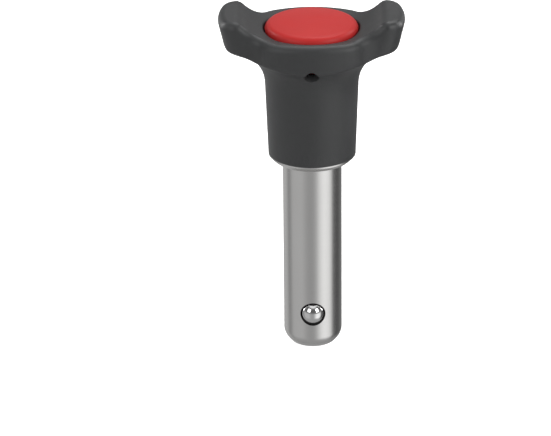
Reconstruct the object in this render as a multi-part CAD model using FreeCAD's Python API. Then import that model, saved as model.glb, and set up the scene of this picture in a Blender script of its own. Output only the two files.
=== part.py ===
import FreeCAD, Part
import math
import os

# Self-locking ball lock pin with a moulded T grip and a push button.
# Millimetres. The pin stands on its tip: the origin is the middle of the tip's end face and
# +Z runs up the pin's axis to the button. X runs along the grip's wings. The two locking
# balls face -Y (front) and +Y (rear). Everything is drawn at rest: button up, balls out.

# ---- Shank: ground pin body, collar and stem, turned in one piece ----
SHANK_DIAMETER = 15.96
SHANK_LENGTH = 54.4             # tip face to the collar's lower face
TIP_CHAMFER_DEPTH = 1.7         # taken off the radius
TIP_CHAMFER_LENGTH = 2.2
BORE_DIAMETER = 8.6
BORE_MOUTH_CHAMFER = 0.4
COLLAR_DIAMETER = 23.6
COLLAR_THICKNESS = 1.6
COLLAR_CHAMFER = 1.2
STEM_DIAMETER = 15.6            # inside the grip, threaded at its top
STEM_FLATS = 14.4               # across two flats that keep the grip from turning
STEM_END_CHAMFER = 0.6
STEM_PROUD_OF_NUT = 0.8
SPRING_WELL_DIAMETER = 11.4
SPRING_WELL_DEPTH = 9.3

# ---- Locking balls ----
BALL_DIAMETER = 6.35
BALL_HEIGHT = 10.55              # ball centre above the tip face
BALL_PROUD = 1.5                # how far a locked ball stands out of the shank
BALL_FLUSH_MARGIN = 0.04        # how far a released ball lies under the shank's surface
BALL_HOLE_GAP = 0.04            # radial, ball to hole and to the staked lip
STAKE_RING_DIAMETER = 6.85      # ring punched around the hole to close its lip
STAKE_RING_DEPTH = 0.35

# ---- Button ----
BUTTON_TRAVEL = 5.5
BUTTON_DIAMETER = 24.9
BUTTON_GAP = 0.35               # radial, button to its pocket
BUTTON_WALL = 1.8
BUTTON_TOP_THICKNESS = 1.9
BUTTON_SIDE_HEIGHT = 4.6        # skirt edge to where the dome starts
BUTTON_DOME_RISE = 0.9
BUTTON_EDGE_RADIUS = 1.8
BUTTON_FLOOR_GAP = 0.4          # skirt to pocket floor when fully pressed
BUTTON_RIB_COUNT = 6
BUTTON_RIB_THICKNESS = 1.2
BUTTON_RIB_DEPTH = 2.2
BOSS_LENGTH = 6.0

# ---- Spring ----
SPRING_WIRE = 1.0
SPRING_MEAN_DIAMETER = 9.8
SPRING_TURNS = 8                # working turns
CLOSED_TURN_PITCH = 1.02        # of the end turns, in wire diameters
SPRING_SIDE_GAP = 0.25          # radial, spring to what it slides on

# ---- Spindle ----
SPINDLE_GAP = 0.1               # radial, spindle in the bore
FOOT_RECESS = 6.65               # foot's end face above the tip face
FOOT_TO_BALL_GAP = 0.1
RAMP_GAP = 0.04                 # ball to the spindle's ramp while it slides
RECESS_GAP = 0.1                # ball to the bottom of the recess when released
SPINDLE_GUIDE_DIAMETER = 6.4
SPINDLE_END_DIAMETER = 4.6
SPINDLE_SHOULDER_DROP = 1.0     # guide shoulder below the spring well's floor
SPINDLE_END_CHAMFER = 0.4

# ---- Locknut ----
NUT_DIAMETER = 20.6
NUT_HEIGHT = 4.0
NUT_CHAMFER = 0.5
NUT_SLOT_WIDTH = 3.0
NUT_SLOT_DEPTH = 1.5
NUT_RECESS_GAP = 0.35           # radial, nut to the recess in the grip
THREAD_GAP = 0.05               # radial, nut's thread on the stem

# ---- Grip ----
GRIP_HEIGHT = 35.2              # seat on the collar to the lowest line of the dished top
SLEEVE_END_DIAMETER = 23.6
SLEEVE_DRAFT = 2.1              # degrees a side
SLEEVE_LENGTH = 20.2            # seat to where the underside starts to flare
FLARE_RADIUS = 11.4
BULGE_DEPTH = 32.4              # across the rounded middle, front to rear
BULGE_WIDTH = 30.4
BULGE_FRONT_RADIUS = 30.0
BULGE_CORNER_RADIUS = 9.0
WING_SPAN = 48.8
WING_END_WIDTH = 19.4
WING_END_RADIUS = 26.0
WING_END_DRAFT = 13.0           # degrees that the end faces lean in towards the underside
WING_END_RISE = 1.0             # level of the full span above the lowest line of the top
WING_CORNER_RADIUS = 5.0
WAIST_WIDTH = 20.0              # of the bar, inside the rounded middle
WAIST_FROM_AXIS = 12.0
WAIST_RADIUS = 7.0
TOP_FLAT_LENGTH = 17.0          # level part of the top, along the wings
DISH_RADIUS = 14.0              # hollow that rises from it to each wing end
HOLLOW_RADIUS = 140.0           # its slight curve from front to rear
WING_RISE = 5.0                 # wing tips above the level part of the top
CREST_RADIUS = 3.0              # where the hollow turns over into each wing tip
TOP_EDGE_RADIUS = 2.0
BOTTOM_EDGE_RADIUS = 1.6
POCKET_DEPTH = 8.8              # below the lowest line of the top
POCKET_EDGE_RADIUS = 0.6
NUT_SEAT_DEPTH = 5.8            # below the pocket floor
GRIP_BORE_GAP = 0.05            # radial, grip on the stem
LANYARD_DIAMETER = 3.9
LANYARD_FROM_AXIS = 15.3        # where its axis crosses the flared underside
LANYARD_TILT = 45.0             # degrees from the pin's axis

# ---- Levels and radii that follow from the sizes above ----
SHANK_RADIUS = SHANK_DIAMETER / 2
BORE_RADIUS = BORE_DIAMETER / 2
STEM_RADIUS = STEM_DIAMETER / 2
BALL_RADIUS = BALL_DIAMETER / 2
SEAT_LEVEL = SHANK_LENGTH + COLLAR_THICKNESS
TOP_LEVEL = SEAT_LEVEL + GRIP_HEIGHT
POCKET_FLOOR = TOP_LEVEL - POCKET_DEPTH
NUT_SEAT = POCKET_FLOOR - NUT_SEAT_DEPTH
NUT_TOP = NUT_SEAT + NUT_HEIGHT
STEM_TOP = NUT_TOP + STEM_PROUD_OF_NUT
WELL_FLOOR = STEM_TOP - SPRING_WELL_DEPTH
BUTTON_RADIUS = BUTTON_DIAMETER / 2
SKIRT_EDGE = POCKET_FLOOR + BUTTON_FLOOR_GAP + BUTTON_TRAVEL
WING_END_LEVEL = TOP_LEVEL + WING_END_RISE
DOME_START = SKIRT_EDGE + BUTTON_SIDE_HEIGHT
BUTTON_TOP = DOME_START + BUTTON_DOME_RISE
BUTTON_CEILING = DOME_START - BUTTON_TOP_THICKNESS
BOSS_END = BUTTON_CEILING - BOSS_LENGTH
BOSS_RADIUS = (SPRING_MEAN_DIAMETER - SPRING_WIRE) / 2 - SPRING_SIDE_GAP

# Ball centres, measured from the pin's axis: locked, released, and the travel between.
BALL_OUT = SHANK_RADIUS + BALL_PROUD - BALL_RADIUS
BALL_IN = SHANK_RADIUS - BALL_FLUSH_MARGIN - BALL_RADIUS
BALL_TRAVEL = BALL_OUT - BALL_IN
RAMP_SLOPE = BALL_TRAVEL / BUTTON_TRAVEL


def point(x, y, z):
    return FreeCAD.Vector(x, y, z)


NEAR = 0.01     # how close a place must lie to an edge or face to be on it
ORIGIN = point(0, 0, 0)
UP = point(0, 0, 1)


def line(a, b):
    return Part.makeLine(point(*a), point(*b))


def arc(a, middle, b):
    return Part.Arc(point(*a), point(*middle), point(*b)).toShape()


def spun(edges):
    """A solid turned about the pin's axis from a closed half section in the XZ plane."""
    return Part.Face(Part.Wire(edges)).revolve(ORIGIN, UP, 360)


def turned(section):
    """A solid turned from (radius, level) corners joined by straight lines."""
    corners = [(radius, 0, level) for radius, level in section]
    following = corners[1:] + corners[:1]
    return spun([line(a, b) for a, b in zip(corners, following)])


def disc(radius, low, high):
    return Part.makeCylinder(radius, high - low, point(0, 0, low))


def slab(width, depth, low, high):
    """A rectangular block centred on the pin's axis."""
    return Part.makeBox(width, depth, high - low, point(-width / 2, -depth / 2, low))


def edges_where(shape, test):
    return [edge for edge in shape.Edges if test(edge)]


def is_upright(edge):
    """True for an edge that runs up the part, also where it leans with a drafted face."""
    return len(edge.Vertexes) == 2 and abs(edge.tangentAt(edge.FirstParameter).z) > 0.9


# ---------------------------------------------------------------- shank


def ball_holes():
    """Both ball holes in one cross bore, its ends domed so that a lip holds each ball in."""
    radius = BALL_RADIUS + BALL_HOLE_GAP
    start = point(0, -BALL_OUT, BALL_HEIGHT)
    bore = Part.makeCylinder(radius, 2 * BALL_OUT, start, point(0, 1, 0))
    for side in (-1, 1):
        bore = bore.fuse(Part.makeSphere(radius, point(0, side * BALL_OUT, BALL_HEIGHT)))
    return bore


def stake_rings():
    """Shallow punched rings around the ball holes, of even depth on the round shank."""
    radius = STAKE_RING_DIAMETER / 2
    reach = SHANK_RADIUS + 1
    core = disc(SHANK_RADIUS - STAKE_RING_DEPTH, BALL_HEIGHT - 2 * radius, BALL_HEIGHT + 2 * radius)
    rings = Part.makeCylinder(radius, 2 * reach, point(0, -reach, BALL_HEIGHT), point(0, 1, 0))
    return rings.cut(core)


def make_shank():
    collar_radius = COLLAR_DIAMETER / 2
    well_radius = SPRING_WELL_DIAMETER / 2
    body = turned([
        (BORE_RADIUS + BORE_MOUTH_CHAMFER, 0),
        (SHANK_RADIUS - TIP_CHAMFER_DEPTH, 0),
        (SHANK_RADIUS, TIP_CHAMFER_LENGTH),
        (SHANK_RADIUS, SHANK_LENGTH),
        (collar_radius - COLLAR_CHAMFER, SHANK_LENGTH),
        (collar_radius, SHANK_LENGTH + COLLAR_CHAMFER),
        (collar_radius, SEAT_LEVEL),
        (STEM_RADIUS, SEAT_LEVEL),
        (STEM_RADIUS, STEM_TOP - STEM_END_CHAMFER),
        (STEM_RADIUS - STEM_END_CHAMFER, STEM_TOP),
        (well_radius, STEM_TOP),
        (well_radius, WELL_FLOOR),
        (BORE_RADIUS, WELL_FLOOR),
        (BORE_RADIUS, BORE_MOUTH_CHAMFER),
    ])
    stem = slab(STEM_FLATS, STEM_DIAMETER + 1, SEAT_LEVEL, STEM_TOP)
    off_the_flats = disc(STEM_RADIUS + 1, SEAT_LEVEL, STEM_TOP).cut(stem)
    return body.cut(off_the_flats).cut(ball_holes()).cut(stake_rings())


# ---------------------------------------------------------------- balls


def make_ball(side):
    """A locked ball. The side is -1 for the front and 1 for the rear."""
    return Part.makeSphere(BALL_RADIUS, point(0, side * BALL_OUT, BALL_HEIGHT))


# ---------------------------------------------------------------- spindle


def make_spindle():
    """Foot, locking land, ramp, ball recess, rod, guide and the end pressed into the button.

    The ramp runs parallel to the line that a ball's centre follows in the spindle's frame,
    so a ball clears it by the same gap all the way. The recess is the ball's own round.
    """
    foot_radius = BORE_RADIUS - SPINDLE_GAP
    guide_radius = SPINDLE_GUIDE_DIAMETER / 2
    end_radius = SPINDLE_END_DIAMETER / 2
    end_top = BOSS_END + BOSS_LENGTH - SPINDLE_END_CHAMFER
    slant = math.hypot(1, RAMP_SLOPE)
    land_radius = BALL_OUT - (BALL_RADIUS + RAMP_GAP) * slant
    clear_of_foot = BALL_RADIUS + FOOT_TO_BALL_GAP
    foot_top = BALL_HEIGHT - math.sqrt(clear_of_foot ** 2 - (BALL_OUT - foot_radius) ** 2)
    recess_round = BALL_RADIUS + RECESS_GAP
    recess_radius = BALL_IN - recess_round
    recess_level = BALL_HEIGHT + BUTTON_TRAVEL
    ramp_end = BALL_HEIGHT + (land_radius - recess_radius) / RAMP_SLOPE
    rod_start = recess_level + math.sqrt(recess_round ** 2 - (BALL_IN - foot_radius) ** 2)
    half_way = math.radians(45)
    recess_middle = (BALL_IN - recess_round * math.cos(half_way),
                     recess_level + recess_round * math.sin(half_way))
    shoulder = WELL_FLOOR - SPINDLE_SHOULDER_DROP
    lower = [
        (0, FOOT_RECESS),
        (foot_radius - SPINDLE_END_CHAMFER, FOOT_RECESS),
        (foot_radius, FOOT_RECESS + SPINDLE_END_CHAMFER),
        (foot_radius, foot_top),
        (land_radius, foot_top),
        (land_radius, BALL_HEIGHT),
        (recess_radius, ramp_end),
        (recess_radius, recess_level),
    ]
    upper = [
        (foot_radius, rod_start),
        (foot_radius, shoulder - SPINDLE_END_CHAMFER),
        (foot_radius - SPINDLE_END_CHAMFER, shoulder),
        (guide_radius, shoulder),
        (guide_radius, BOSS_END),
        (end_radius, BOSS_END),
        (end_radius, end_top),
        (0, end_top),
    ]
    edges = [line((a[0], 0, a[1]), (b[0], 0, b[1])) for a, b in zip(lower, lower[1:])]
    edges.append(arc((recess_radius, 0, recess_level),
                     (recess_middle[0], 0, recess_middle[1]),
                     (foot_radius, 0, rod_start)))
    edges += [line((a[0], 0, a[1]), (b[0], 0, b[1])) for a, b in zip(upper, upper[1:])]
    edges.append(line((0, 0, end_top), (0, 0, FOOT_RECESS)))
    return spun(edges)


# ---------------------------------------------------------------- spring


def half_turn(side, low, rise):
    """Half a turn of wire as part of a tilted ring, from X = side * radius across to the other.

    Such rings meet square to the XZ plane, so a chain of them is a smooth spring.
    """
    radius = SPRING_MEAN_DIAMETER / 2
    section = Part.makeCircle(SPRING_WIRE / 2, point(side * radius, 0, low), point(0, 1, 0))
    axis = point(side * rise, 0, 2 * radius)
    return Part.Face(Part.Wire(section)).revolve(point(0, 0, low + rise / 2), axis, 180)


def make_spring():
    """Closed and ground at both ends, between the well's floor and the button's ceiling."""
    closed_rise = SPRING_WIRE * CLOSED_TURN_PITCH / 2
    low = WELL_FLOOR + SPRING_WIRE / 4
    high = BUTTON_CEILING - SPRING_WIRE / 4
    working_rise = (high - low - 4 * closed_rise) / (2 * SPRING_TURNS)
    rises = [closed_rise] * 2 + [working_rise] * 2 * SPRING_TURNS + [closed_rise] * 2
    halves = []
    level = low
    side = 1
    for rise in rises:
        halves.append(half_turn(side, level, rise))
        level += rise
        side = -side
    spring = halves[0].multiFuse(halves[1:])
    return spring.common(disc(SPRING_MEAN_DIAMETER, WELL_FLOOR, BUTTON_CEILING))


# ---------------------------------------------------------------- button


def button_cap():
    """The domed cap with its skirt, before its boss."""
    skirt_radius = BUTTON_RADIUS - BUTTON_WALL
    half = BUTTON_RADIUS / 2
    dome_radius = (BUTTON_RADIUS ** 2 + BUTTON_DOME_RISE ** 2) / (2 * BUTTON_DOME_RISE)
    dome_middle = BUTTON_TOP - dome_radius + math.sqrt(dome_radius ** 2 - half ** 2)
    cap = spun([
        line((0, 0, BUTTON_CEILING), (0, 0, BUTTON_TOP)),
        arc((0, 0, BUTTON_TOP), (half, 0, dome_middle), (BUTTON_RADIUS, 0, DOME_START)),
        line((BUTTON_RADIUS, 0, DOME_START), (BUTTON_RADIUS, 0, SKIRT_EDGE)),
        line((BUTTON_RADIUS, 0, SKIRT_EDGE), (skirt_radius, 0, SKIRT_EDGE)),
        line((skirt_radius, 0, SKIRT_EDGE), (skirt_radius, 0, BUTTON_CEILING)),
        line((skirt_radius, 0, BUTTON_CEILING), (0, 0, BUTTON_CEILING)),
    ])
    rim = edges_where(cap, lambda e: abs(e.CenterOfMass.z - DOME_START) < 0.01 and e.Length > BUTTON_RADIUS)
    return cap.makeFillet(BUTTON_EDGE_RADIUS, rim)


def make_button():
    button = button_cap()
    button = button.fuse(disc(BOSS_RADIUS, BOSS_END, BUTTON_CEILING))
    rib_start = (SPRING_MEAN_DIAMETER + SPRING_WIRE) / 2 + SPRING_SIDE_GAP
    rib_length = BUTTON_RADIUS - BUTTON_WALL / 2 - rib_start
    for index in range(BUTTON_RIB_COUNT):
        rib = Part.makeBox(rib_length, BUTTON_RIB_THICKNESS, BUTTON_RIB_DEPTH,
                           point(rib_start, -BUTTON_RIB_THICKNESS / 2, BUTTON_CEILING - BUTTON_RIB_DEPTH))
        rib.rotate(ORIGIN, UP, 360 / BUTTON_RIB_COUNT * (index + 0.5))
        button = button.fuse(rib)
    socket = disc(SPINDLE_END_DIAMETER / 2, BOSS_END, BUTTON_CEILING)
    return button.removeSplitter().cut(socket)


# ---------------------------------------------------------------- locknut


def make_locknut():
    radius = NUT_DIAMETER / 2
    nut = turned([
        (STEM_RADIUS + THREAD_GAP, NUT_SEAT),
        (radius - NUT_CHAMFER, NUT_SEAT),
        (radius, NUT_SEAT + NUT_CHAMFER),
        (radius, NUT_TOP - NUT_CHAMFER),
        (radius - NUT_CHAMFER, NUT_TOP),
        (STEM_RADIUS + THREAD_GAP, NUT_TOP),
    ])
    return nut.cut(slab(NUT_SLOT_WIDTH, NUT_DIAMETER, NUT_TOP - NUT_SLOT_DEPTH, NUT_TOP + 1))


# ---------------------------------------------------------------- grip


def flare_start_radius():
    """Radius of the drafted sleeve where the underside starts to flare."""
    return SLEEVE_END_DIAMETER / 2 + SLEEVE_LENGTH * math.tan(math.radians(SLEEVE_DRAFT))


def crest_radius():
    """Radius at which the flared underside has turned level."""
    return flare_start_radius() + FLARE_RADIUS * math.cos(math.radians(SLEEVE_DRAFT))


def flare_level(radius):
    """Level of the flared underside at a distance from the pin's axis."""
    centre_level = SEAT_LEVEL + SLEEVE_LENGTH - FLARE_RADIUS * math.sin(math.radians(SLEEVE_DRAFT))
    return centre_level + math.sqrt(FLARE_RADIUS ** 2 - (crest_radius() - radius) ** 2)


def trumpet(ceiling):
    """The drafted sleeve and the flared underside, as one turned form up to a ceiling.

    It is turned on by an eighth, so that its seam runs clear of the wings and the middle.
    """
    end_radius = SLEEVE_END_DIAMETER / 2
    start_radius = flare_start_radius()
    start_level = SEAT_LEVEL + SLEEVE_LENGTH
    crest = crest_radius()
    middle = (start_radius + crest) / 2
    reach = 2 * WING_SPAN
    form = spun([
        line((0, 0, SEAT_LEVEL), (end_radius, 0, SEAT_LEVEL)),
        line((end_radius, 0, SEAT_LEVEL), (start_radius, 0, start_level)),
        arc((start_radius, 0, start_level), (middle, 0, flare_level(middle)),
            (crest, 0, flare_level(crest))),
        line((crest, 0, flare_level(crest)), (reach, 0, flare_level(crest))),
        line((reach, 0, flare_level(crest)), (reach, 0, ceiling)),
        line((reach, 0, ceiling), (0, 0, ceiling)),
        line((0, 0, ceiling), (0, 0, SEAT_LEVEL)),
    ])
    form.rotate(ORIGIN, UP, 45)
    return form


def wing_bar(low, high):
    """The bar of the two wings, a little wider at its rounded ends, which lean in downwards."""
    half_span = WING_SPAN / 2
    waist = WAIST_WIDTH / 2
    widening = (WING_END_WIDTH / 2 - waist) / (half_span - WAIST_FROM_AXIS)
    overrun = WING_SPAN
    far = waist + (overrun - WAIST_FROM_AXIS) * widening
    corners = [(-overrun, -far), (-WAIST_FROM_AXIS, -waist), (WAIST_FROM_AXIS, -waist),
               (overrun, -far), (overrun, far), (WAIST_FROM_AXIS, waist),
               (-WAIST_FROM_AXIS, waist), (-overrun, far)]
    corners = [point(x, y, low) for x, y in corners]
    bar = Part.Face(Part.makePolygon(corners + corners[:1])).extrude(point(0, 0, high - low))
    lean = math.tan(math.radians(WING_END_DRAFT))
    low_radius = WING_END_RADIUS - lean * (WING_END_LEVEL - low)
    high_radius = WING_END_RADIUS + lean * (high - WING_END_LEVEL)
    for side in (-1, 1):
        end_round = Part.makeCone(low_radius, high_radius, high - low, point(0, 0, low))
        end_round.rotate(ORIGIN, UP, 90)
        end_round.translate(point(side * (half_span - WING_END_RADIUS), 0, 0))
        bar = bar.common(end_round)
    return bar


def bulge(low, high):
    """The wider middle around the button, with bowed faces to the front and rear."""
    block = slab(BULGE_WIDTH, BULGE_DEPTH, low, high)
    for side in (-1, 1):
        centre = point(0, side * (BULGE_FRONT_RADIUS - BULGE_DEPTH / 2), low)
        block = block.common(Part.makeCylinder(BULGE_FRONT_RADIUS, high - low, centre))
    return block.makeFillet(BULGE_CORNER_RADIUS, edges_where(block, is_upright))


def plan_block(low, high):
    """The grip's outline from above, as an upright block with its corners rounded."""
    block = wing_bar(low, high).fuse(bulge(low, high)).removeSplitter()

    def at_tip(edge):
        return is_upright(edge) and abs(edge.CenterOfMass.x) > BULGE_WIDTH / 2

    def at_waist(edge):
        middle = edge.CenterOfMass
        on_bar = abs(abs(middle.y) - WAIST_WIDTH / 2) < 1
        return is_upright(edge) and WAIST_FROM_AXIS < abs(middle.x) < BULGE_WIDTH / 2 and on_bar

    block = block.makeFillet(WING_CORNER_RADIUS, edges_where(block, at_tip))
    return block.makeFillet(WAIST_RADIUS, edges_where(block, at_waist))


def lanyard_bore():
    """An oblique hole, square to the flared underside of the front bulge, into the pocket."""
    tilt = math.radians(LANYARD_TILT)
    inwards = point(0, math.sin(tilt), math.cos(tilt))
    mouth = point(0, -LANYARD_FROM_AXIS, flare_level(LANYARD_FROM_AXIS))
    depth = (LANYARD_FROM_AXIS - BUTTON_RADIUS - BUTTON_GAP) / math.sin(tilt) + LANYARD_DIAMETER
    start = mouth - inwards * LANYARD_DIAMETER
    return Part.makeCylinder(LANYARD_DIAMETER / 2, depth + LANYARD_DIAMETER, start, inwards)


def grip_bore(ceiling):
    """The button's pocket, the nut's recess and the bore with flats that fits the stem."""
    pocket = disc(BUTTON_RADIUS + BUTTON_GAP, POCKET_FLOOR, ceiling)
    nut_recess = disc(NUT_DIAMETER / 2 + NUT_RECESS_GAP, NUT_SEAT, POCKET_FLOOR)
    stem_bore = disc(STEM_RADIUS + GRIP_BORE_GAP, SEAT_LEVEL, NUT_SEAT)
    flats = slab(STEM_FLATS + 2 * GRIP_BORE_GAP, STEM_DIAMETER + 1, SEAT_LEVEL, NUT_SEAT)
    return pocket.fuse(nut_recess).fuse(stem_bore.common(flats))


def dish():
    """What the top's hollow takes away: it rises to each wing end, and a little to the sides.

    Its section along the wings is swung about a level axis, high over the pin.
    """
    half = TOP_FLAT_LENGTH / 2
    middle = TOP_LEVEL + DISH_RADIUS
    high = middle + DISH_RADIUS
    section = Part.Face(Part.Wire([
        line((-half, 0, TOP_LEVEL), (half, 0, TOP_LEVEL)),
        arc((half, 0, TOP_LEVEL), (half + DISH_RADIUS, 0, middle), (half, 0, high)),
        line((half, 0, high), (-half, 0, high)),
        arc((-half, 0, high), (-half - DISH_RADIUS, 0, middle), (-half, 0, TOP_LEVEL)),
    ]))
    axis_point = point(0, 0, TOP_LEVEL + HOLLOW_RADIUS)
    swing = math.degrees(BULGE_DEPTH / HOLLOW_RADIUS)
    section.rotate(axis_point, point(1, 0, 0), -swing)
    return section.revolve(axis_point, point(1, 0, 0), 2 * swing)


def spots(edge):
    """Five places along an edge, its ends included."""
    start, end = edge.ParameterRange
    return [edge.valueAt(start + (end - start) * step / 4) for step in range(5)]


def on_skin(place, block):
    return Part.Vertex(place).distToShape(block.Shells[0])[0] < NEAR


def outline_edges(body, block, low, high):
    """The body's edges between two levels that lie on the upright sides of its outline."""
    return edges_where(body, lambda edge: all(
        low - NEAR <= spot.z <= high + NEAR and on_skin(spot, block) for spot in spots(edge)))


def make_grip():
    ceiling = TOP_LEVEL + WING_RISE
    flare_top = flare_level(crest_radius())
    block = plan_block(SEAT_LEVEL - 1, ceiling + 1)
    body = block.common(trumpet(ceiling)).cut(dish())

    def on_crest(edge):
        middle = spots(edge)[2]
        return abs(middle.z - ceiling) < NEAR and not on_skin(middle, block)

    body = body.makeFillet(CREST_RADIUS, edges_where(body, on_crest))
    body = body.makeFillet(TOP_EDGE_RADIUS, outline_edges(body, block, TOP_LEVEL, ceiling))
    body = body.makeFillet(BOTTOM_EDGE_RADIUS, outline_edges(body, block, SEAT_LEVEL, flare_top))
    body = body.cut(grip_bore(ceiling))
    pocket_radius = BUTTON_RADIUS + BUTTON_GAP

    def on_pocket_rim(edge):
        return all(spot.z > TOP_LEVEL - NEAR and abs(math.hypot(spot.x, spot.y) - pocket_radius) < NEAR
                   for spot in spots(edge))

    body = body.makeFillet(POCKET_EDGE_RADIUS, edges_where(body, on_pocket_rim))
    return body.cut(lanyard_bore())


NODES = {
    "shank": make_shank(),
    "ball_front": make_ball(-1),
    "ball_rear": make_ball(1),
    "spindle": make_spindle(),
    "spring": make_spring(),
    "button": make_button(),
    "locknut": make_locknut(),
    "grip": make_grip(),
}

os.makedirs("parts", exist_ok=True)
for name, shape in NODES.items():
    shape.exportStep(f"parts/{name}.step")
    print(name, shape.ShapeType, len(shape.Solids), shape.isValid(), round(shape.Volume, 2))
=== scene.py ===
import math

import bpy
from mathutils import Matrix, Vector


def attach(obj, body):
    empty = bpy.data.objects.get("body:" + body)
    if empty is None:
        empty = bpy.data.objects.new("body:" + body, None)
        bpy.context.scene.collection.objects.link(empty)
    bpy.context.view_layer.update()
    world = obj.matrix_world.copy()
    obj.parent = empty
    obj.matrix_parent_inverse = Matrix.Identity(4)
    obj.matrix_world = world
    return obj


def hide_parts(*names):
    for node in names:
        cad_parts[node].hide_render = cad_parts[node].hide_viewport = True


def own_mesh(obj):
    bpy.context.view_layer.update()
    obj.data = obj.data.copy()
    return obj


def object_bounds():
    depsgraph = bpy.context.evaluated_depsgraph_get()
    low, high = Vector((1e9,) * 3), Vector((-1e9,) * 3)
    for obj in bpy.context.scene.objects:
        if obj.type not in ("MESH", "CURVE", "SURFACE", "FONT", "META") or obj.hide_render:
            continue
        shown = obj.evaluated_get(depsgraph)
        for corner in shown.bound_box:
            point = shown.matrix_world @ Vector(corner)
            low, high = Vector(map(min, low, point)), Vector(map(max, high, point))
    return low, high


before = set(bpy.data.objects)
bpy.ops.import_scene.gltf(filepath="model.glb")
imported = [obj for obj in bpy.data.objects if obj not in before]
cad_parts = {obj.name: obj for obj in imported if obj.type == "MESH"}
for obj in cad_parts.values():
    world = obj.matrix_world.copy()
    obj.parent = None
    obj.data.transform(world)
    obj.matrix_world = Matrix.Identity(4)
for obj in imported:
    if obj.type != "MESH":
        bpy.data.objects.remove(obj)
CAD_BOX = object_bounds()

bl_info = {
    "name": "Ball lock pin",
    "version": (1, 0, 0),
    "blender": (4, 5, 0),
    "location": "View3D > Sidebar > Ball lock pin",
    "description": "Finishes for a self-locking pin with a moulded T grip, and its studio stage",
    "category": "Object",
}


# ---------------------------------------------------------------- settings


class GripSettings(bpy.types.PropertyGroup):
    """The moulded T grip."""

    colour: bpy.props.FloatVectorProperty(
        name="Colour", description="Dark grey of the moulded nylon",
        subtype="COLOR", size=3, min=0.0, max=1.0, default=(0.030, 0.031, 0.032))
    roughness: bpy.props.FloatProperty(
        name="Roughness", description="Gloss of the satin mould finish",
        subtype="FACTOR", min=0.0, max=1.0, default=0.47)
    grain: bpy.props.FloatProperty(
        name="Grain", description="Size of the spark-eroded grain",
        subtype="DISTANCE", unit="LENGTH", min=0.00005, max=0.002, default=0.00035)
    depth: bpy.props.FloatProperty(
        name="Grain depth", description="Height of the grain",
        subtype="DISTANCE", unit="LENGTH", min=0.0, max=0.0005, default=0.000018)


class ButtonSettings(bpy.types.PropertyGroup):
    """The push button."""

    colour: bpy.props.FloatVectorProperty(
        name="Colour", description="Red of the button",
        subtype="COLOR", size=3, min=0.0, max=1.0, default=(0.515, 0.024, 0.023))
    roughness: bpy.props.FloatProperty(
        name="Roughness", description="Gloss of the button",
        subtype="FACTOR", min=0.0, max=1.0, default=0.42)


class SteelSettings(bpy.types.PropertyGroup):
    """The steel parts."""

    ground: bpy.props.FloatVectorProperty(
        name="Ground steel", description="Colour of the ground stainless shank",
        subtype="COLOR", size=3, min=0.0, max=1.0, default=(0.705, 0.70, 0.69))
    ground_roughness: bpy.props.FloatProperty(
        name="Ground roughness", description="Gloss of the ground shank",
        subtype="FACTOR", min=0.0, max=1.0, default=0.24)
    grinding_pitch: bpy.props.FloatProperty(
        name="Grinding pitch", description="Spacing of the grinding lines round the shank",
        subtype="DISTANCE", unit="LENGTH", min=0.00002, max=0.002, default=0.0002)
    tip_round: bpy.props.FloatProperty(
        name="Tip rounding", description="How far the corner above the tip's chamfer is rounded",
        subtype="DISTANCE", unit="LENGTH", min=0.0001, max=0.0013, default=0.0012)
    ball_height: bpy.props.FloatProperty(
        name="Ball height", description="From the tip to the middle of the locking balls",
        subtype="DISTANCE", unit="LENGTH", min=0.0, max=0.05, default=0.01055)
    socket_radius: bpy.props.FloatProperty(
        name="Socket radius", description="Outside of the staked ring round each ball",
        subtype="DISTANCE", unit="LENGTH", min=0.001, max=0.01, default=0.00345)
    ball: bpy.props.FloatVectorProperty(
        name="Ball steel", description="Colour of the polished balls",
        subtype="COLOR", size=3, min=0.0, max=1.0, default=(0.80, 0.80, 0.80))
    turned: bpy.props.FloatVectorProperty(
        name="Turned steel", description="Colour of the spindle, nut and spring",
        subtype="COLOR", size=3, min=0.0, max=1.0, default=(0.48, 0.48, 0.48))


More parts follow.
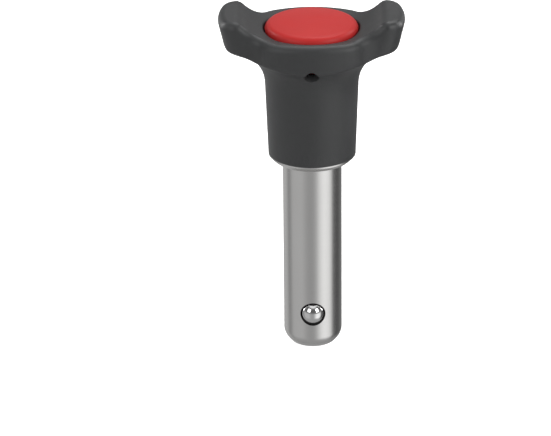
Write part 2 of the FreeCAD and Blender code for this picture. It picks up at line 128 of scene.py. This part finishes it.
class StageSettings(bpy.types.PropertyGroup):
    """The camera, the floor and the lights."""

    distance: bpy.props.FloatProperty(
        name="Camera distance", description="From the camera to the middle of the pin",
        subtype="DISTANCE", unit="LENGTH", min=0.1, max=5.0, default=0.85)
    elevation: bpy.props.FloatProperty(
        name="Camera elevation", description="Angle of the camera above the horizon",
        subtype="ANGLE", unit="ROTATION", min=0.0, max=1.5, default=math.radians(23.85))
    roll: bpy.props.FloatProperty(
        name="Camera roll", description="Turn of the camera about its own axis",
        subtype="ANGLE", unit="ROTATION", min=-0.2, max=0.2, default=math.radians(-0.3))
    focal_length: bpy.props.FloatProperty(
        name="Focal length", description="Lens on a 36 mm wide sensor",
        subtype="DISTANCE_CAMERA", unit="CAMERA", min=20.0, max=400.0, default=205.2)
    aim_left: bpy.props.FloatProperty(
        name="Aim to the left", description="How far left of the pin the camera aims",
        subtype="DISTANCE", unit="LENGTH", min=-0.1, max=0.1, default=0.0100)
    aim_down: bpy.props.FloatProperty(
        name="Aim down", description="How far under the pin's middle the camera aims",
        subtype="DISTANCE", unit="LENGTH", min=-0.1, max=0.1, default=0.0127)
    floor_colour: bpy.props.FloatVectorProperty(
        name="Floor", description="Colour of the floor",
        subtype="COLOR", size=3, min=0.0, max=1.0, default=(0.93, 0.93, 0.93))
    key_power: bpy.props.FloatProperty(
        name="Key light", description="Power of the large light at the front right",
        subtype="POWER", unit="POWER", min=0.0, max=100.0, default=2.6)
    fill_power: bpy.props.FloatProperty(
        name="Fill light", description="Power of the large light at the front left",
        subtype="POWER", unit="POWER", min=0.0, max=100.0, default=1.5)
    edge_power: bpy.props.FloatProperty(
        name="Edge lights", description="Power of the two lights at the sides, behind the pin",
        subtype="POWER", unit="POWER", min=0.0, max=100.0, default=2.2)
    top_power: bpy.props.FloatProperty(
        name="Top light", description="Power of the light above and behind",
        subtype="POWER", unit="POWER", min=0.0, max=100.0, default=2.0)
    surroundings: bpy.props.FloatProperty(
        name="Surroundings", description="Brightness of the room that lights the pin all round",
        min=0.0, max=2.0, default=0.40)


# ---------------------------------------------------------------- sizes and levels

# Lengths are in metres, and a colour's shades are fractions of its brightness.
MERGE_WITHIN = 0.000001             # points of a CAD mesh nearer than this are one
SMOOTH_UNDER = math.radians(30)     # edges flatter than this are shaded smooth
NOISE_MIDDLE = (0.3, 0.7)           # where nearly all of a noise's values lie

GRIP_CLOUDS = 0.012
GRIP_SHADES = (0.88, 1.14)
GRIP_UNEVEN = (-0.05, 0.06)         # added to the roughness

BUTTON_CLOUDS = 0.009
BUTTON_SHADES = (0.94, 1.06)
BUTTON_UNEVEN = (-0.03, 0.04)
BUTTON_GRAIN = 0.0004
BUTTON_GRAIN_DEPTH = 0.000006
BUTTON_SPECULAR = 0.22

SHANK_CLOUDS = 0.015
SHANK_SHADES = (0.97, 1.03)
SHANK_UNEVEN = (-0.03, 0.03)
GRINDING_DEPTH = 0.0000004
AROUND_SHANK = (0.012, 0.012, 1.0)  # draws noise out into lines round the axis
# painted shade in the staked rings and the holes round the balls, as a fraction of the steel's
# colour
SOCKET_PAINTED_SHADE = 0.05
SOCKET_EDGE = 0.00006               # over which the painted shade in the staked ring fades in

TIP_CORNER_LEVELS = (0.0005, 0.003) # the corner above the tip's chamfer lies between them
TIP_CORNER_RADIUS = 0.0078          # and at least this far from the axis
LEVEL_WITHIN = 0.00001              # the ends of a level edge differ by less
TIP_SEGMENTS = 6

BALL_ROUGHNESS = 0.07
BALL_UNEVEN = (0.05, 0.10)
BALL_SCUFFS = 0.0012

SPRING_SHADE = 0.85
SPRING_ROUGHNESS = 0.3
SPRING_UNEVEN = (0.24, 0.38)
SPRING_DRAWN = 0.0008

TURNED_ROUGHNESS = 0.34
TURNED_UNEVEN = (0.28, 0.42)
TURNING_PITCH = 0.00025
TURNING_DEPTH = 0.000003
AROUND_TURNED = (0.02, 0.02, 1.0)

# What bright steel mirrors: degrees round from the camera's side, and how bright it is there.
BOXES_AROUND = (
    (-180, 0.52), (-122, 0.50), (-108, 0.27), (-98, 0.31), (-86, 0.50), (-42, 0.52), (-26, 0.42),
    (-12, 0.37), (4, 0.38), (17, 0.55), (29, 0.88), (42, 1.06), (54, 1.08), (68, 0.98), (80, 0.70),
    (88, 0.16), (112, 0.08), (130, 0.13), (158, 0.24), (180, 0.30),
)
# The same overhead: height from the horizon, 0, to the zenith, 1.
BOXES_OVERHEAD = ((0.0, 0.30), (0.3, 0.14), (0.6, 0.12), (0.8, 0.20), (0.93, 0.90), (1.0, 1.00))
HORIZON = (-0.05, 0.15)             # heights between which the first set gives way to the second
BEHIND = (0.72, 0.94)               # how far behind the pin its far side begins and is full
BEHIND_LEVEL = 0.38                 # the least brightness there
BELOW = (-0.60, -0.85)              # depths at which the paper under the pin begins and is full
PAPER_LEVEL = 0.38

FLOOR_WIDTH = 6.0
FLOOR_ROUGHNESS = 0.9
FLOOR_GLOW = 0.62                   # brings the floor that the camera sees up to white

# The lamps: name, place, width and height, and the setting that holds the power.
LAMPS = (
    ("key", (0.55, -0.45, 0.45), (0.40, 0.45), "key_power"),
    ("fill", (-0.50, -0.50, 0.45), (0.45, 0.45), "fill_power"),
    ("left_edge", (-0.60, 0.30, 0.25), (0.25, 0.50), "edge_power"),
    ("right_edge", (0.60, 0.30, 0.25), (0.25, 0.50), "edge_power"),
    ("top", (0.10, 0.35, 0.70), (0.50, 0.40), "top_power"),
)

CAMERA_PIVOT = Vector((0.0, 0.0, 0.05))  # about the middle of the pin
SENSOR_WIDTH = 36.0                 # millimetres
CLIP = (0.01, 20.0)


# ---------------------------------------------------------------- node helpers


def add_node(tree, kind, **attributes):
    """A node of the given kind, with its attributes set by name."""
    node = tree.nodes.new(kind)
    for name, value in attributes.items():
        setattr(node, name, value)
    return node


def feed(tree, socket, value):
    """Links a socket to another, or gives it a plain number or colour."""
    if isinstance(value, bpy.types.NodeSocket):
        tree.links.new(value, socket)
    else:
        socket.default_value = value


def solid(colour, shade=1.0):
    """A colour's shade, opaque."""
    return (*(channel * shade for channel in colour[:3]), 1.0)


def grey(level):
    return (level, level, level, 1.0)


def graded(tree, value, start, end, low=0.0, high=1.0):
    """Runs from low to high as a value goes from start to end, and stays level outside."""
    spread = add_node(tree, "ShaderNodeMapRange")
    spread.inputs["From Min"].default_value = start
    spread.inputs["From Max"].default_value = end
    spread.inputs["To Min"].default_value = low
    spread.inputs["To Max"].default_value = high
    tree.links.new(value, spread.inputs["Value"])
    return spread.outputs["Result"]


def mixed(tree, factor, first, second, blend_type="MIX"):
    """Two colours mixed by a factor."""
    mix = add_node(tree, "ShaderNodeMix", data_type="RGBA", blend_type=blend_type)
    feed(tree, mix.inputs["Factor"], factor)
    feed(tree, mix.inputs["A"], first)
    feed(tree, mix.inputs["B"], second)
    return mix.outputs["Result"]


def calculated(tree, operation, first, second):
    """The result of an operation on two numbers."""
    node = add_node(tree, "ShaderNodeMath", operation=operation)
    feed(tree, node.inputs[0], first)
    feed(tree, node.inputs[1], second)
    return node.outputs["Value"]


def part_coordinates(tree, scale, location=(0.0, 0.0, 0.0)):
    """The part's own coordinates, scaled and then moved."""
    coordinates = add_node(tree, "ShaderNodeTexCoord")
    mapping = add_node(tree, "ShaderNodeMapping")
    mapping.inputs["Scale"].default_value = scale
    mapping.inputs["Location"].default_value = location
    tree.links.new(coordinates.outputs["Object"], mapping.inputs["Vector"])
    return mapping.outputs["Vector"]


# ---------------------------------------------------------------- materials


def plain_material(name, colour, roughness, metallic=0.0):
    """A new material with one Principled shader, whose plain numbers sit on its own sockets."""
    material = bpy.data.materials.new(name)
    material.use_nodes = True
    tree = material.node_tree
    shader = tree.nodes["Principled BSDF"]
    shader.inputs["Base Color"].default_value = solid(colour)
    shader.inputs["Roughness"].default_value = roughness
    shader.inputs["Metallic"].default_value = metallic
    return material, tree, shader


def pattern(tree, size, detail=2.0, squeeze=(1.0, 1.0, 1.0)):
    """Noise on the part's own coordinates, of a feature size in metres."""
    noise = add_node(tree, "ShaderNodeTexNoise")
    noise.inputs["Scale"].default_value = 1.0 / size
    noise.inputs["Detail"].default_value = detail
    tree.links.new(part_coordinates(tree, squeeze), noise.inputs["Vector"])
    return noise.outputs["Fac"]


def vary_colour(tree, shader, noise, colour, shades):
    """Mottles the colour between two of its shades."""
    mottled = mixed(tree, noise, *(solid(colour, shade) for shade in shades))
    tree.links.new(mottled, shader.inputs["Base Color"])


def vary_roughness(tree, shader, noise, low, high):
    tree.links.new(graded(tree, noise, *NOISE_MIDDLE, low, high), shader.inputs["Roughness"])


def raise_grain(tree, shader, noise, height):
    bump = add_node(tree, "ShaderNodeBump")
    bump.inputs["Distance"].default_value = height
    tree.links.new(noise, bump.inputs["Height"])
    tree.links.new(bump.outputs["Normal"], shader.inputs["Normal"])


def paint_socket_shade(tree, shader, settings):
    """Painted shade in the staked rings round the balls and in the holes behind them."""
    from_ball = part_coordinates(tree, (1.0, 0.0, 1.0), (0.0, 0.0, -settings.ball_height))
    reach = add_node(tree, "ShaderNodeVectorMath", operation="LENGTH")
    tree.links.new(from_ball, reach.inputs[0])
    rim = settings.socket_radius
    inside = graded(tree, reach.outputs["Value"], rim, rim - SOCKET_EDGE)
    bright = shader.inputs["Base Color"].links[0].from_socket
    dark = solid(settings.ground, SOCKET_PAINTED_SHADE)
    tree.links.new(mixed(tree, inside, bright, dark), shader.inputs["Base Color"])


def finish_nodes(material, *names):
    """Gives CAD nodes one material in place of the plain one they came with."""
    for name in names:
        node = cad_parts[name]
        node.data.materials.clear()
        node.data.materials.append(material)


# ---------------------------------------------------------------- pieces


def merged_copy(node, name):
    """A new object with a CAD node's shape, its loose triangles joined up."""
    bpy.ops.object.select_all(action="DESELECT")
    piece = bpy.data.objects.new(name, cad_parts[node].data.copy())
    piece.data.materials.clear()
    bpy.context.scene.collection.objects.link(piece)
    bpy.context.view_layer.objects.active = piece
    piece.select_set(True)
    bpy.ops.object.mode_set(mode="EDIT")
    bpy.ops.mesh.select_all(action="SELECT")
    bpy.ops.mesh.remove_doubles(threshold=MERGE_WITHIN)
    bpy.ops.mesh.customdata_custom_splitnormals_clear()
    bpy.ops.mesh.select_all(action="DESELECT")
    bpy.ops.object.mode_set(mode="OBJECT")
    return piece


def round_tip(piece, size):
    """Rounds the corner between the shank's wall and the chamfer at its tip."""
    places = [vertex.co for vertex in piece.data.vertices]
    lowest, highest = TIP_CORNER_LEVELS
    for edge in piece.data.edges:
        first, second = (places[index] for index in edge.vertices)
        level = abs(first.z - second.z) < LEVEL_WITHIN and lowest < first.z < highest
        outer = min(first.xy.length, second.xy.length) > TIP_CORNER_RADIUS
        edge.select = level and outer
    if not any(edge.select for edge in piece.data.edges):
        raise RuntimeError("the shank has no chamfered tip to round")
    bpy.context.tool_settings.mesh_select_mode = (False, True, False)
    bpy.ops.object.mode_set(mode="EDIT")
    bpy.ops.mesh.bevel(offset=size, segments=TIP_SEGMENTS, affect="EDGES")
    bpy.ops.object.mode_set(mode="OBJECT")


def stand_in(piece, node, body, material):
    """The piece takes a CAD node's place, on its body and with its own finish."""
    piece.data.materials.append(material)
    bpy.ops.object.shade_smooth_by_angle(angle=SMOOTH_UNDER)
    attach(piece, body)
    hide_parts(node)


# ---------------------------------------------------------------- operators


class PIN_OT_grip_finish(bpy.types.Operator):
    """Give the grip its satin, finely grained moulded finish"""

    bl_idname = "pin.grip_finish"
    bl_label = "Grip finish"

    def execute(self, context):
        settings = context.scene.pin_grip
        material, tree, shader = plain_material(
            "moulded_nylon", settings.colour, settings.roughness)
        clouds = pattern(tree, GRIP_CLOUDS, detail=3.0)
        vary_colour(tree, shader, clouds, settings.colour, GRIP_SHADES)
        vary_roughness(tree, shader, clouds, *(settings.roughness + step for step in GRIP_UNEVEN))
        raise_grain(tree, shader, pattern(tree, settings.grain, detail=3.0), settings.depth)
        finish_nodes(material, "grip")
        return {"FINISHED"}


class PIN_OT_button_finish(bpy.types.Operator):
    """Give the button its red satin finish"""

    bl_idname = "pin.button_finish"
    bl_label = "Button finish"

    def execute(self, context):
        settings = context.scene.pin_button
        material, tree, shader = plain_material("red_nylon", settings.colour, settings.roughness)
        clouds = pattern(tree, BUTTON_CLOUDS)
        vary_colour(tree, shader, clouds, settings.colour, BUTTON_SHADES)
        vary_roughness(tree, shader, clouds, *(settings.roughness + step for step in BUTTON_UNEVEN))
        raise_grain(tree, shader, pattern(tree, BUTTON_GRAIN), BUTTON_GRAIN_DEPTH)
        shader.inputs["Specular IOR Level"].default_value = BUTTON_SPECULAR
        finish_nodes(material, "button")
        return {"FINISHED"}


class PIN_OT_shank(bpy.types.Operator):
    """Model the ground shank, with its tip rounded off and fine lines around it"""

    bl_idname = "pin.shank"
    bl_label = "Shank"

    def execute(self, context):
        settings = context.scene.pin_steel
        roughness = settings.ground_roughness
        material, tree, shader = plain_material(
            "ground_stainless", settings.ground, roughness, metallic=1.0)
        lines = pattern(tree, settings.grinding_pitch, detail=3.0, squeeze=AROUND_SHANK)
        clouds = pattern(tree, SHANK_CLOUDS, detail=3.0)
        vary_colour(tree, shader, clouds, settings.ground, SHANK_SHADES)
        vary_roughness(tree, shader, lines, *(roughness + step for step in SHANK_UNEVEN))
        raise_grain(tree, shader, lines, GRINDING_DEPTH)
        # painted shade: the steel's colour darkened in the rings and holes round the balls
        paint_socket_shade(tree, shader, settings)
        piece = merged_copy("shank", "ground_shank")
        round_tip(piece, settings.tip_round)
        stand_in(piece, "shank", "pin", material)
        return {"FINISHED"}


class PIN_OT_ball_finish(bpy.types.Operator):
    """Give the locking balls their polish"""

    bl_idname = "pin.ball_finish"
    bl_label = "Ball finish"

    def execute(self, context):
        settings = context.scene.pin_steel
        material, tree, shader = plain_material(
            "polished_ball", settings.ball, BALL_ROUGHNESS, metallic=1.0)
        vary_roughness(tree, shader, pattern(tree, BALL_SCUFFS, detail=4.0), *BALL_UNEVEN)
        finish_nodes(material, "ball_front", "ball_rear")
        return {"FINISHED"}


class PIN_OT_spring(bpy.types.Operator):
    """Model the spring as a joined-up copy of its CAD node, with a mesh of its own"""

    bl_idname = "pin.spring"
    bl_label = "Spring"

    def execute(self, context):
        settings = context.scene.pin_steel
        material, tree, shader = plain_material(
            "spring_wire", solid(settings.turned, SPRING_SHADE), SPRING_ROUGHNESS, metallic=1.0)
        vary_roughness(tree, shader, pattern(tree, SPRING_DRAWN, detail=3.0), *SPRING_UNEVEN)
        piece = merged_copy("spring", "button_spring")
        stand_in(piece, "spring", "pin", material)
        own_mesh(piece)
        return {"FINISHED"}


class PIN_OT_inner_finish(bpy.types.Operator):
    """Give the spindle and the locknut a plain turned finish"""

    bl_idname = "pin.inner_finish"
    bl_label = "Inner parts finish"

    def execute(self, context):
        settings = context.scene.pin_steel
        material, tree, shader = plain_material(
            "turned_steel", settings.turned, TURNED_ROUGHNESS, metallic=1.0)
        lines = pattern(tree, TURNING_PITCH, squeeze=AROUND_TURNED)
        vary_roughness(tree, shader, lines, *TURNED_UNEVEN)
        raise_grain(tree, shader, lines, TURNING_DEPTH)
        finish_nodes(material, "spindle", "locknut")
        return {"FINISHED"}


class PIN_OT_stage(bpy.types.Operator):
    """Set up the pale floor, the soft studio light and the camera"""

    bl_idname = "pin.stage"
    bl_label = "Stage"

    def execute(self, context):
        settings = context.scene.pin_stage
        context.scene.view_settings.view_transform = "Standard"
        self.make_world(context, settings)
        self.make_floor(settings)
        self.make_lights(context, settings)
        self.make_camera(context, settings)
        return {"FINISHED"}

    def make_world(self, context, settings):
        """A pale room for the eye, even light for the surfaces, and soft boxes for the steel."""
        world = bpy.data.worlds.new("studio")
        context.scene.world = world
        world.use_nodes = True
        tree = world.node_tree
        tree.nodes.clear()
        path = add_node(tree, "ShaderNodeLightPath")
        room = self.background(tree, grey(1.0), settings.surroundings)
        boxes = self.background(tree, self.soft_boxes(tree), 1.0)
        pale = self.background(tree, grey(1.0), 1.0)
        lighting = self.either(tree, path.outputs["Is Glossy Ray"], room, boxes)
        seen = calculated(tree, "MAXIMUM", path.outputs["Is Camera Ray"],
                          path.outputs["Is Transmission Ray"])
        output = add_node(tree, "ShaderNodeOutputWorld")
        tree.links.new(self.either(tree, seen, lighting, pale), output.inputs["Surface"])

    def background(self, tree, colour, strength):
        node = add_node(tree, "ShaderNodeBackground")
        feed(tree, node.inputs["Color"], colour)
        node.inputs["Strength"].default_value = strength
        return node.outputs["Background"]

    def either(self, tree, factor, first, second):
        """The first shader where the factor is 0, and the second where it is 1."""
        mix = add_node(tree, "ShaderNodeMixShader")
        for socket, source in zip(mix.inputs, (factor, first, second)):
            tree.links.new(source, socket)
        return mix.outputs["Shader"]

    def brightness(self, tree, place, stops):
        """Greys along a ramp of (place, brightness) stops."""
        node = add_node(tree, "ShaderNodeValToRGB")
        elements = node.color_ramp.elements
        while len(elements) < len(stops):
            elements.new(1.0)
        for element, (position, level) in zip(elements, stops):
            element.position = position
            element.color = grey(level)
        tree.links.new(place, node.inputs["Fac"])
        return node.outputs["Color"]

    def soft_boxes(self, tree):
        """Soft boxes and dark cards round the pin, another set overhead, and paper below."""
        coordinates = add_node(tree, "ShaderNodeTexCoord")
        axes = add_node(tree, "ShaderNodeSeparateXYZ")
        tree.links.new(coordinates.outputs["Generated"], axes.inputs["Vector"])
        across, depth, height = (axes.outputs[axis] for axis in "XYZ")
        nearness = calculated(tree, "MULTIPLY", depth, -1.0)
        turn = calculated(tree, "ARCTAN2", across, nearness)
        stops = [(angle / 360 + 0.5, level) for angle, level in BOXES_AROUND]
        ring = self.brightness(tree, graded(tree, turn, -math.pi, math.pi), stops)
        overhead = self.brightness(tree, height, BOXES_OVERHEAD)
        boxes = mixed(tree, graded(tree, height, *HORIZON), ring, overhead)
        far_side = graded(tree, depth, *BEHIND, high=BEHIND_LEVEL)
        boxes = mixed(tree, 1.0, boxes, far_side, blend_type="LIGHTEN")
        return mixed(tree, graded(tree, height, *BELOW), boxes, grey(PAPER_LEVEL))

    def make_floor(self, settings):
        """Paper under the pin, white to the camera and unseen by the steel."""
        bpy.ops.mesh.primitive_plane_add(size=FLOOR_WIDTH, location=(0.0, 0.0, CAD_BOX[0].z))
        floor = bpy.context.object
        floor.name = "floor"
        material, tree, shader = plain_material(
            "floor_paper", settings.floor_colour, FLOOR_ROUGHNESS)
        path = add_node(tree, "ShaderNodeLightPath")
        glow = calculated(tree, "MULTIPLY", path.outputs["Is Camera Ray"], FLOOR_GLOW)
        shader.inputs["Emission Color"].default_value = grey(1.0)
        tree.links.new(glow, shader.inputs["Emission Strength"])
        floor.data.materials.append(material)
        floor.visible_glossy = False

    def make_lights(self, context, settings):
        """Soft rectangular lamps that face the middle of the pin."""
        middle = (CAD_BOX[0] + CAD_BOX[1]) / 2
        for name, place, (width, height), power in LAMPS:
            data = bpy.data.lights.new(name, "AREA")
            data.shape = "RECTANGLE"
            data.size, data.size_y = width, height
            data.energy = getattr(settings, power)
            lamp = bpy.data.objects.new(name, data)
            lamp.location = place
            lamp.rotation_euler = (middle - Vector(place)).to_track_quat("-Z", "Y").to_euler()
            context.scene.collection.objects.link(lamp)

    def make_camera(self, context, settings):
        """Aims to one side of the pin and under its middle, so that the pin stands as framed."""
        elevation = settings.elevation
        back = Vector((0.0, -math.cos(elevation), math.sin(elevation)))
        right = Vector((1.0, 0.0, 0.0))
        up = back.cross(right)
        place = CAMERA_PIVOT + back * settings.distance
        aim = CAMERA_PIVOT - right * settings.aim_left - up * settings.aim_down
        back = (place - aim).normalized()
        right = up.cross(back).normalized()
        up = back.cross(right)
        turn = Matrix.Rotation(settings.roll, 3, back)
        facing = Matrix((turn @ right, turn @ up, back)).transposed().to_4x4()
        data = bpy.data.cameras.new("camera")
        data.lens = settings.focal_length
        data.sensor_width = SENSOR_WIDTH
        data.clip_start, data.clip_end = CLIP
        camera = bpy.data.objects.new("camera", data)
        camera.matrix_world = Matrix.Translation(place) @ facing
        context.scene.collection.objects.link(camera)
        context.scene.camera = camera


class PIN_PT_panel(bpy.types.Panel):
    """Lists the finishes and the stage"""

    bl_idname = "PIN_PT_panel"
    bl_label = "Ball lock pin"
    bl_space_type = "VIEW_3D"
    bl_region_type = "UI"
    bl_category = "Ball lock pin"

    def draw(self, context):
        for group in SETTINGS:
            box = self.layout.box()
            box.label(text=SETTINGS[group].bl_rna.description)
            for name in SETTINGS[group].__annotations__:
                box.prop(getattr(context.scene, group), name)
        for operator in OPERATORS:
            self.layout.operator(operator.bl_idname)


SETTINGS = {
    "pin_grip": GripSettings,
    "pin_button": ButtonSettings,
    "pin_steel": SteelSettings,
    "pin_stage": StageSettings,
}
OPERATORS = (
    PIN_OT_grip_finish,
    PIN_OT_button_finish,
    PIN_OT_shank,
    PIN_OT_ball_finish,
    PIN_OT_spring,
    PIN_OT_inner_finish,
    PIN_OT_stage,
)


def register():
    for group, settings in SETTINGS.items():
        bpy.utils.register_class(settings)
        setattr(bpy.types.Scene, group, bpy.props.PointerProperty(type=settings))
    for operator in OPERATORS:
        bpy.utils.register_class(operator)
    bpy.utils.register_class(PIN_PT_panel)


def unregister():
    bpy.utils.unregister_class(PIN_PT_panel)
    for operator in reversed(OPERATORS):
        bpy.utils.unregister_class(operator)
    for group, settings in SETTINGS.items():
        delattr(bpy.types.Scene, group)
        bpy.utils.unregister_class(settings)


def main():
    register()
    bpy.ops.object.select_all(action="DESELECT")
    bpy.ops.pin.grip_finish()
    bpy.ops.pin.button_finish()
    bpy.ops.pin.shank()
    bpy.ops.pin.ball_finish()
    bpy.ops.pin.spring()
    bpy.ops.pin.inner_finish()
    bpy.ops.pin.stage()


if __name__ == "__main__":
    main()
